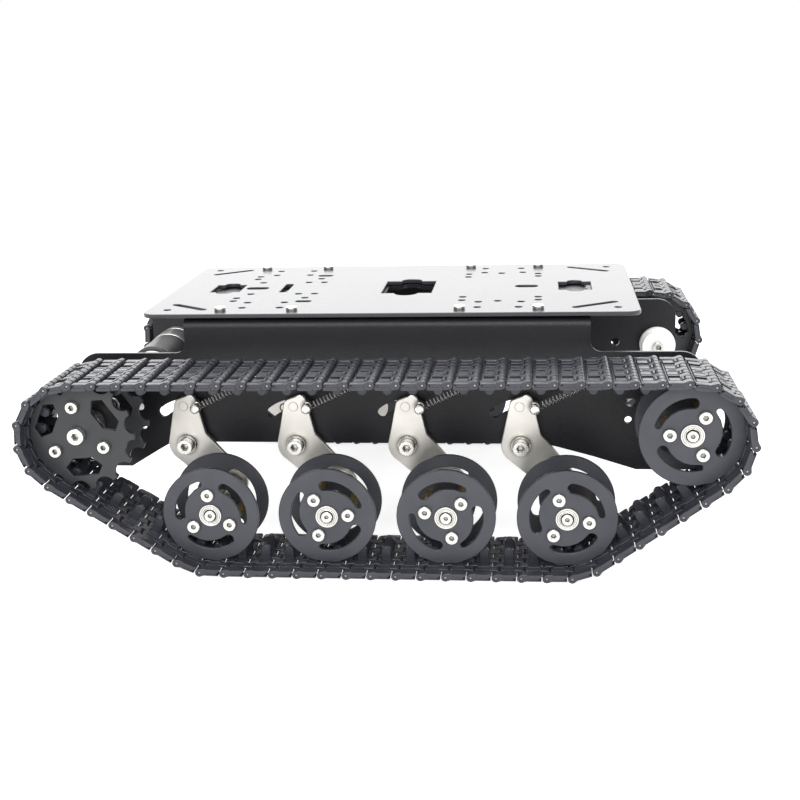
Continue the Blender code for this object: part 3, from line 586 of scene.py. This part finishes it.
def wheel_pieces(radius, turn, flipped):
    """Discs, screws with bearings, and spacers of a wheel about the origin, at the right track's Y."""
    slots = [comma_slot(base, flipped) for base in (0, 120, 240)]
    loops = [circle(0, 0, radius, 96), circle(0, 0, 4.6, 32), *slots]
    discs = [plate(loops, DISC_THICKNESS, 0.3, -TRACK_Y + offset) for offset in (-DISC_OFFSET, DISC_OFFSET)]
    screws = [bearing(OUTER_FACE, 5.0)]
    back = [moved(mirrored(screws[0]), y=-2 * TRACK_Y)]
    spacers = []
    for base in (0, 120, 240):
        x, z = polar(9.5, 180 - base if flipped else base)
        screws.append(socket_screw(x, z, OUTER_FACE, 2.85, 1.9, 1.15))
        back.append(moved(mirrored(screws[-1]), y=-2 * TRACK_Y))
        spacers.append(turned([(2.5, OUTER_FACE + 2.1), (2.5, INNER_DISC_FACE - 2.1)], 6, 0.2, x, z))
    return [moved(together(group), turn=turn) for group in (discs, screws + back, spacers)]


def build_wheels():
    phases = (94, 125, 45, 112)     # how far each wheel has rolled, in degrees
    for number, ((x, _, z), phase) in enumerate(zip(WHEELS, phases), 1):
        discs, screws, spacers = (moved(group, x, 0, z)
                                  for group in wheel_pieces(WHEEL_RADIUS, phase, False))
        tag = f"{{side}}_{number}"
        both_sides(f"wheel_discs_{tag}", discs, f"wheel_{tag}", "anodised", [f"road_wheel_{tag}"])
        both_sides(f"wheel_screws_{tag}", screws, f"wheel_{tag}", "fastener_steel")
        both_sides(f"wheel_spacers_{tag}", spacers, f"wheel_{tag}", "brass")
    discs, screws, spacers = (moved(group, IDLER_X, 0, IDLER_Z)
                              for group in wheel_pieces(PLAIN_IDLER_RADIUS, -2, True))
    piece("idler_discs_right", discs, "idler_right", "anodised", ["idler_wheel_right"])
    piece("idler_screws_right", screws, "idler_right", "fastener_steel")
    piece("idler_spacers_right", spacers, "idler_right", "brass")


# ---------------------------------------------------------------- sprockets

WINDOW_TURNS = (35, 155, 275)
SCREW_CIRCLE_RADIUS = 12.9
SEAT_TURN = math.degrees(math.pi / 2 - FIRST_PIN_PAST_TOP / PIN_CIRCLE_RADIUS)


def tooth_outline():
    """Pointed teeth between round gullets that seat the link barrels."""
    tip, seat_radius, seat_centre = 25.7, 4.6, 26.4
    reach = (seat_centre ** 2 + seat_radius ** 2 - tip ** 2) / (2 * seat_centre * seat_radius)
    spread = math.degrees(math.acos(reach))
    points = []
    for tooth in range(SPROCKET_TEETH):
        turn = 360 * tooth / SPROCKET_TEETH + SEAT_TURN
        points += arc(*polar(seat_centre, turn), seat_radius, turn + 180 + spread, turn + 180 - spread, 9)
    return points


def toothed_plates(bore):
    """The two toothed plates, with windows of straight chords, about the origin."""
    corners = ((17.2, -29), (20.0, -17), (20.0, 17), (17.2, 29), (11.9, 21), (11.2, 0), (11.9, -21))
    windows = [[polar(radius, turn + offset) for radius, offset in corners] for turn in WINDOW_TURNS]
    loops = [tooth_outline(), circle(0, 0, bore, 24), circle(*polar(20.5, 108), 1.3, 16), *windows]
    return together([plate(loops, DISC_THICKNESS, 0.22, -TRACK_Y + offset)
                     for offset in (-DISC_OFFSET, DISC_OFFSET)])


def standoffs():
    """The hexagonal spacers between the two plates, one between each pair of windows."""
    return [turned([(2.6, OUTER_FACE + 2.1), (2.6, INNER_DISC_FACE - 2.1)], 6, 0.2,
                   *polar(SCREW_CIRCLE_RADIUS, turn + 60)) for turn in WINDOW_TURNS]


def plate_screws():
    """The spacers' screws on both outer faces."""
    heads = [socket_screw(*polar(SCREW_CIRCLE_RADIUS, turn + 60), OUTER_FACE, 2.75, 2.6, 1.25)
             for turn in WINDOW_TURNS]
    return heads + [moved(mirrored(head), y=-2 * TRACK_Y) for head in heads]


def build_sprockets():
    place = {"x": SPROCKET_X, "z": SPROCKET_Z}
    body = "sprocket_{side}"
    both_sides("sprocket_plates_{side}", moved(toothed_plates(2.9), **place), body, "toothed_steel",
               ["sprocket_outer_plate_{side}", "sprocket_inner_plate_{side}"])
    shaft_end = -(HULL_Y - 14.0)
    hub = turned([(2.2, OUTER_FACE - 0.3), (2.2, OUTER_FACE + 2.3), (11.0, OUTER_FACE + 2.3),
                  (11.0, OUTER_FACE + 5.3), (6.0, OUTER_FACE + 5.6), (6.0, INNER_DISC_FACE - 3.5),
                  (2.2, INNER_DISC_FACE - 3.5), (2.2, shaft_end)], 40)
    both_sides("sprocket_hub_detail_{side}", moved(together([hub, *standoffs()]), **place), body,
               "fastener_steel", ["sprocket_hub_{side}"])
    screws = [socket_screw(0, 0, OUTER_FACE, 3.75, 4.2, 1.7), *plate_screws()]
    both_sides("sprocket_screws_{side}", moved(together(screws), **place), body, "fastener_steel")


def build_toothed_idler():
    """The left idler: a sprocket's plates on bearings, turned so that its gullets seat the pins."""
    centre = (IDLER_X, IDLER_Z)
    wrapped = [pin for pin in pin_places() if abs(math.dist(pin, centre) - PIN_CIRCLE_RADIUS) < 0.01]
    turn = math.degrees(math.atan2(wrapped[0][1] - IDLER_Z, wrapped[0][0] - IDLER_X)) - SEAT_TURN
    screws = together([bearing(OUTER_FACE, 5.0), *plate_screws()])
    for part, mesh, look, nodes in (
            ("plates", toothed_plates(4.6), "toothed_steel", ["idler_wheel_left"]),
            ("screws", screws, "fastener_steel", ()),
            ("spacers", together(standoffs()), "brass", ())):
        own = mirrored(moved(moved(mesh, turn=turn), IDLER_X, 0, IDLER_Z))
        piece(f"idler_{part}_left", own, "idler_left", look, nodes)


# ---------------------------------------------------------------- arms, bolts, axles and springs

def arm_outline():
    """A blade that leans back to a narrow top, round the pivot and down to the axle."""
    return [*arc(0, 0, 9.0, 176, 226, 12), *arc(*AXLE_FROM_PIVOT, 7.5, 226, 407, 24), (9.3, 4.9),
            (8.9, 6.0), (6.6, 16.4), (6.4, 21.0), *arc(2.6, 20.9, 3.0, 10, 130, 9), (-3.6, 21.6),
            (-4.6, 21.0), (-5.1, 19.6)]


def build_arms():
    """Each arm with its stop pin and spring post, its pivot screw on the hull and its axle."""
    blade = plate([arm_outline(), circle(0, 0, 2.9, 24), circle(*AXLE_FROM_PIVOT, 2.4, 24)],
                  ARM_THICKNESS, 0.3, ARM_OUT + ARM_THICKNESS / 2)
    rivet = turned([(2.1, ARM_OUT - 0.25), (2.1, ARM_OUT + 1.0), (1.85, ARM_OUT + 1.2), (1.85, -57.6)],
                   24, 0.12, *STOP_PIN)
    post = turned([(1.8, SPRING_Y - 3.4), (2.3, SPRING_Y - 2.9), (2.3, SPRING_Y - 0.9), (1.4, SPRING_Y - 0.7),
                   (1.4, SPRING_Y + 0.7), (2.3, SPRING_Y + 0.9), (2.3, ARM_OUT + 1)], 24, 0.15, *SPRING_POST)
    bolt = [turned([(4.5, ARM_OUT - 1.2), (4.5, ARM_OUT - 0.3), (2.5, ARM_OUT - 0.3), (2.5, -61.7),
                    (4.5, -61.7), (4.5, -60.3), (2.5, -60.3), (2.5, -57.7), (3.6, -57.7), (3.6, -54.7)],
                   32, 0.15),
            socket_screw(0, 0, ARM_OUT - 1.2, 3.6, 4.2, 1.75)]
    axle = turned([(2.9, OUTER_FACE - 0.2), (2.9, INNER_DISC_FACE + 0.3), (4.6, INNER_DISC_FACE + 0.7),
                   (4.6, ARM_OUT - 0.3), (2.0, ARM_OUT - 0.3), (2.0, -62.0)], 28, 0.15)
    for number, (pivot, wheel) in enumerate(zip(PIVOTS, WHEELS), 1):
        x, _, z = pivot
        tag = f"{{side}}_{number}"
        both_sides(f"arm_plate_{tag}", moved(blade, x, 0, z), f"arm_{tag}", "arm_steel", [f"swing_arm_{tag}"])
        both_sides(f"arm_pins_{tag}", moved(post, x, 0, z), f"arm_{tag}", "fastener_steel")
        both_sides(f"stop_pin_{tag}", moved(rivet, x, 0, z), f"arm_{tag}", "arm_steel")
        both_sides(f"pivot_screw_{tag}", moved(together(bolt), x, 0, z), "chassis", "fastener_steel",
                   [f"pivot_bolt_{tag}"])
        both_sides(f"axle_detail_{tag}", moved(axle, wheel[0], 0, wheel[2]), f"arm_{tag}", "fastener_steel",
                   [f"wheel_axle_{tag}"])


def spring_mesh():
    """A close-wound tension spring with a loop at each end, from the arm's post to the hull's stud."""
    run = Vector(SPRING_ANCHOR) - Vector(SPRING_POST)
    along = run.normalized()
    across = Vector((-along.y, along.x))
    wire, coil, loop, turns = 0.3, 1.65, 2.1, 15
    points = []

    def add(s, offset, depth):
        flat = Vector(SPRING_POST) + along * s + across * offset
        points.append((flat.x * MM, (SPRING_Y + depth) * MM, flat.y * MM, 1.0))

    for i in range(22):
        turn = math.radians(50 + 290 * i / 21)
        add(loop * math.cos(turn), loop * math.sin(turn), 0.0)
    begin, finish = 3.4, run.length - 3.4
    steps = turns * 14          # points a turn
    for i in range(steps + 1):
        turn = 2 * math.pi * turns * i / steps - math.pi / 2
        add(begin + (finish - begin) * i / steps, coil * math.sin(turn), coil * math.cos(turn))
    for i in range(22):
        turn = math.radians(200 + 290 * i / 21)
        add(run.length + loop * math.cos(turn), loop * math.sin(turn), 0.0)
    curve = bpy.data.curves.new("coil", "CURVE")
    curve.dimensions = "3D"
    curve.bevel_depth = wire * MM
    curve.bevel_resolution = 1
    curve.use_fill_caps = True
    spline = curve.splines.new("POLY")
    spline.points.add(len(points) - 1)
    for point, place in zip(spline.points, points):
        point.co = place
    return welded(mesh_of(temporary(curve), "coil"))


def build_springs():
    coil = spring_mesh()
    stud = turned([(1.9, SPRING_Y - 2.6), (1.9, SPRING_Y - 1.0), (1.3, SPRING_Y - 0.8), (1.3, SPRING_Y + 0.8),
                   (2.2, SPRING_Y + 1.0), (2.2, -60.1)], 20, 0.12, *SPRING_ANCHOR)
    for number, (x, _, z) in enumerate(PIVOTS, 1):
        for side, out in OUTWARD.items():
            own = moved(coil, x, 0, z)
            own = own if side == "right" else mirrored(own)
            obj = piece(f"spring_coil_{side}_{number}", own, None, "spring_steel",
                        [f"tension_spring_{side}_{number}"], angle=60.0)
            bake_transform(obj)
        both_sides(f"spring_stud_{{side}}_{number}", moved(stud, x, 0, z), "chassis", "fastener_steel")


def build_idler_axles():
    axle = turned([(2.9, OUTER_FACE - 0.2), (2.9, INNER_DISC_FACE + 0.3), (5.5, INNER_DISC_FACE + 0.7),
                   (5.5, -HULL_Y - 0.3), (3.0, -HULL_Y - 0.3), (3.0, -52.0)], 28, 0.15)
    bush = turned([(3.0, -50.2), (3.4, -57.7), (9.5, -57.7), (9.5, -53.2), (8.9, -52.6), (8.5, -49.9),
                   (3.2, -49.9)], 40, 0.3)
    screw = mirrored(socket_screw(0, 0, 49.9, 3.0, 2.4, 1.4))
    for name, mesh, look, nodes in (
            ("idler_axle_detail", axle, "fastener_steel", ["idler_axle_{side}"]),
            ("idler_bush_detail", bush, "white_nylon", ["idler_bush_{side}"]),
            ("idler_bush_screw", screw, "fastener_steel", [])):
        both_sides(f"{name}_{{side}}", moved(mesh, IDLER_X, 0, IDLER_Z), "chassis", look, nodes)


# ---------------------------------------------------------------- hull and deck

CABLE_CUTS = ((-88.0, 15.0, 19.0, 4.0), (87.0, 16.0, 21.0, 4.0), (4.5, 25.0, 31.0, 5.5))
SMALL_HOLES = (
    (-73, 15), (-78, 25), (-78, 32), (-70, 36), (-70, 48), (-52, 36), (-52, 48), (-44, 25), (-49, 15),
    (-41, 15), (33, 26), (33, 34), (41, 38), (50, 36), (41, 50), (61, 38), (60, 50), (69, 27), (69, 34),
    (105, 52), (-105, 52),
)
DECK_SLOTS = (
    ((-104, 40), (-88, 51.5), 3.4), ((104, 40), (86, 51.5), 3.4),
    ((-104, -40), (-88, -51.5), 3.4), ((104, -40), (86, -51.5), 3.4),
    ((-58, -9), (-58, 9), 4.0), ((-75.5, 0), (-70, 0), 6.0), ((60.5, 0), (66, 0), 6.0),
    ((-45, 33.5), (-41.5, 33.5), 4.4), ((-45, -33.5), (-41.5, -33.5), 4.4),
)


def hull_shell():
    """The folded channel before it is cut: a bent strip with thickness."""
    outer, top, bend = HULL_Y - SHEET / 2, WEB_TOP - SHEET / 2, BEND_RADIUS - SHEET / 2
    section = ([(-outer, 20.0)] + arc(-outer + bend, top - bend, bend, 180, 90, 13)
               + arc(outer - bend, top - bend, bend, 90, 0, 13) + [(outer, 20.0)])
    ends = HULL_ENDS[0] - 4.0, HULL_ENDS[1] + 4.0
    edit = bmesh.new()
    rows = [[edit.verts.new((x * MM, y * MM, z * MM)) for y, z in section] for x in ends]
    for i in range(len(section) - 1):
        edit.faces.new((rows[0][i], rows[1][i], rows[1][i + 1], rows[0][i + 1]))
    bmesh.ops.recalc_face_normals(edit, faces=edit.faces)
    mesh = bpy.data.meshes.new("strip")
    edit.to_mesh(mesh)
    edit.free()
    strip = temporary(mesh)
    thick = strip.modifiers.new("sheet", "SOLIDIFY")
    thick.thickness = SHEET * MM
    thick.offset = 0.0
    thick.use_even_offset = True
    return mesh_of(strip, "shell")


def end_notch(end, web_end):
    """What is cut off both sides past the web's end: the notch, the lobe's corner and the end."""
    fillet, corner, past = 5.0, 10.0, abs(end) + 20
    loop = ([(abs(web_end), WEB_TOP + 10)]
            + arc(abs(web_end) + fillet, LOBE_TOP + fillet, fillet, 180, 270, 10)
            + arc(abs(end) - corner, LOBE_TOP - corner, corner, 90, 0, 14)
            + [(abs(end), 10), (past, 10), (past, WEB_TOP + 10)])
    return [(math.copysign(x, end), z) for x, z in loop]


def skirt_outline():
    """What is cut away below a side plate: tabs round the pivots and lobes at the ends."""
    tab = 8.5
    low, high = HULL_ENDS
    xs = [pivot[0] for pivot in PIVOTS]
    edge = [(low - 20, 46), (low - 1, 46), (low + 13, SKIRT_LOW_Z), (low + 22, SKIRT_LOW_Z),
            (xs[0] - 15, SKIRT_Z - 4)]
    for x in xs:
        edge += [(x - tab, PIVOT_Z - 0.5), *arc(x, PIVOT_Z, tab, 185, 355, 14), (x + tab, PIVOT_Z - 0.5)]
    edge += [(xs[-1] + 16, SKIRT_Z - 1.7), (high - 48.5, SKIRT_Z - 6.5), (high - 29, SKIRT_LOW_Z),
             (high - 11, SKIRT_LOW_Z), (high + 1, 46), (high + 20, 46)]
    return edge + [(high + 20, -5), (low - 20, -5)]


def side_cutters(side):
    """Cutters for a side plate's skirt, holes and the slots that the stop pins run in."""
    middle = OUTWARD[side] * (HULL_Y - SHEET / 2)
    x, z = SPROCKET_X, SPROCKET_Z
    holes = [(x, z, 4.2), (IDLER_X, IDLER_Z, 3.4), (x + 13.4, z - 0.8, 2.2), (x + 14.5, z - 10.6, 1.7),
             (x + 16.0, z + 9.0, 1.7), (x - 5.0, z + 18.5, 2.3), (IDLER_X - 22.3, IDLER_Z + 1.0, 2.2),
             (IDLER_X - 23.3, IDLER_Z - 7.5, 1.7), *[(pivot[0], PIVOT_Z, 2.8) for pivot in PIVOTS]]
    loops = [circle(*hole, 20) for hole in holes]
    rest = math.degrees(math.atan2(STOP_PIN[1], STOP_PIN[0]))
    first, last = rest - 3, rest + ARM_TRAVEL + 3
    depth = 5 * SHEET
    slot = plate([curved_slot(0, 0, math.hypot(*STOP_PIN), 4.8, first, last)], depth, 0.0, middle)
    return (plate([skirt_outline()], depth, 0.0, middle),
            [plate([loop], depth, 0.0, middle) for loop in loops]
            + [moved(slot, pivot[0], 0, PIVOT_Z) for pivot in PIVOTS])


def level(mesh, height):
    """An upright plate about Y = 0 laid flat: its Z becomes +Y."""
    mesh.transform(Matrix.Translation((0, 0, height * MM)) @ Matrix.Rotation(-math.pi / 2, 4, "X"))
    return mesh


def build_hull():
    notches = [plate([end_notch(*ends)], 2 * HULL_Y + 20, 0.0) for ends in zip(HULL_ENDS, WEB_ENDS)]
    right_skirt, right_holes = side_cutters("right")
    left_skirt, left_holes = side_cutters("left")
    holes = [level(plate([cable_cut(x, length - 2, width - 2, bulge)], 8.0, 0.0), WEB_TOP - SHEET / 2)
             for x, length, width, bulge in CABLE_CUTS if WEB_ENDS[0] + 20 < x < WEB_ENDS[1] - 20]
    cutters = [*notches, right_skirt, left_skirt, together(holes + right_holes + left_holes)]
    hull = temporary(combined(hull_shell(), cutters, "DIFFERENCE"))
    soft = hull.modifiers.new("edges", "BEVEL")
    soft.width = 0.25 * MM
    soft.segments = 1
    soft.limit_method = "ANGLE"
    soft.angle_limit = math.radians(50)
    piece("hull_sheet", mesh_of(hull, "hull"), "chassis", "powder_coat", ["hull_channel"], angle=30.0)


def build_deck():
    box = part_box("deck_plate")
    corner = 6.0
    x, y = box[1][0] / MM - corner, box[1][1] / MM - corner
    outline = (arc(x, y, corner, 0, 90, 10) + arc(-x, y, corner, 90, 180, 10)
               + arc(-x, -y, corner, 180, 270, 10) + arc(x, -y, corner, 270, 360, 10))
    loops = [outline]
    for hole_x, hole_y in SMALL_HOLES:
        loops += [circle(hole_x, side * hole_y, 1.75, 18) for side in (-1, 1)]
    loops += [slot_outline(*slot) for slot in DECK_SLOTS]
    loops += [cable_cut(*cut) for cut in CABLE_CUTS]
    piece("deck_sheet", level(plate(loops, SHEET, 0.3), DECK_TOP - SHEET / 2), "chassis", "deck_coat",
          ["deck_plate"])
    heads = []
    for screw_x in (-79, -45, 33, 69):
        for screw_y in (-54, 54):
            head = socket_screw(0, 0, 0.0, 2.7, 1.7, 1.2)
            head.transform(Matrix.Translation((screw_x * MM, screw_y * MM, DECK_TOP * MM))
                           @ Matrix.Rotation(-math.pi / 2, 4, "X"))
            heads.append(head)
    piece("deck_screws", together(heads), "chassis", "fastener_steel")


def build_motors():
    """Each gear motor, from the hull's inner face: gearbox, can, rear cap and its two tabs."""
    face = -(HULL_Y - SHEET - 0.3)
    back = face + 21.0
    gearbox = turned([(2.5, face + 14.0), (2.5, -HULL_Y - 0.5), (3.6, -HULL_Y - 0.5), (3.6, face),
                      (12.2, face), (12.2, face + 6.0), (11.9, face + 6.2), (11.9, face + 6.6),
                      (12.2, face + 6.8), (12.2, back)], 48, 0.2)
    end = back + 30.3
    can = turned([(12.0, back + 0.3), (12.0, end - 2.6), (12.2, end - 2.4), (12.2, end - 1.4),
                  (11.2, end - 0.9), (10.2, end - 0.9)], 48, 0.2)
    cap = turned([(10.0, end - 1.4), (10.0, end - 0.5), (4.0, end - 0.5), (4.0, end), (1.8, end),
                  (1.7, end - 0.8)], 40, 0.15)
    tabs = [block((out * 6.6 - 1.2, end - 0.6, -0.35), (out * 6.6 + 1.2, end - 0.05, 0.35), 0.1)
            for out in (-1, 1)]
    place = {"x": SPROCKET_X, "z": SPROCKET_Z}
    both_sides("gearbox_detail_{side}", moved(gearbox, **place), "chassis", "gearbox_metal",
               ["gearbox_{side}"])
    both_sides("motor_detail_{side}", moved(can, **place), "chassis", "motor_can", ["motor_can_{side}"])
    both_sides("motor_cap_{side}", moved(cap, **place), "chassis", "cap_light")
    both_sides("motor_tabs_{side}", moved(together(tabs), **place), "chassis", "brass")


# ---------------------------------------------------------------- the whole model

add_camera()
add_studio()
build_hull()
build_deck()
build_motors()
build_tracks()
build_sprockets()
build_toothed_idler()
build_wheels()
build_arms()
build_springs()
build_idler_axles()
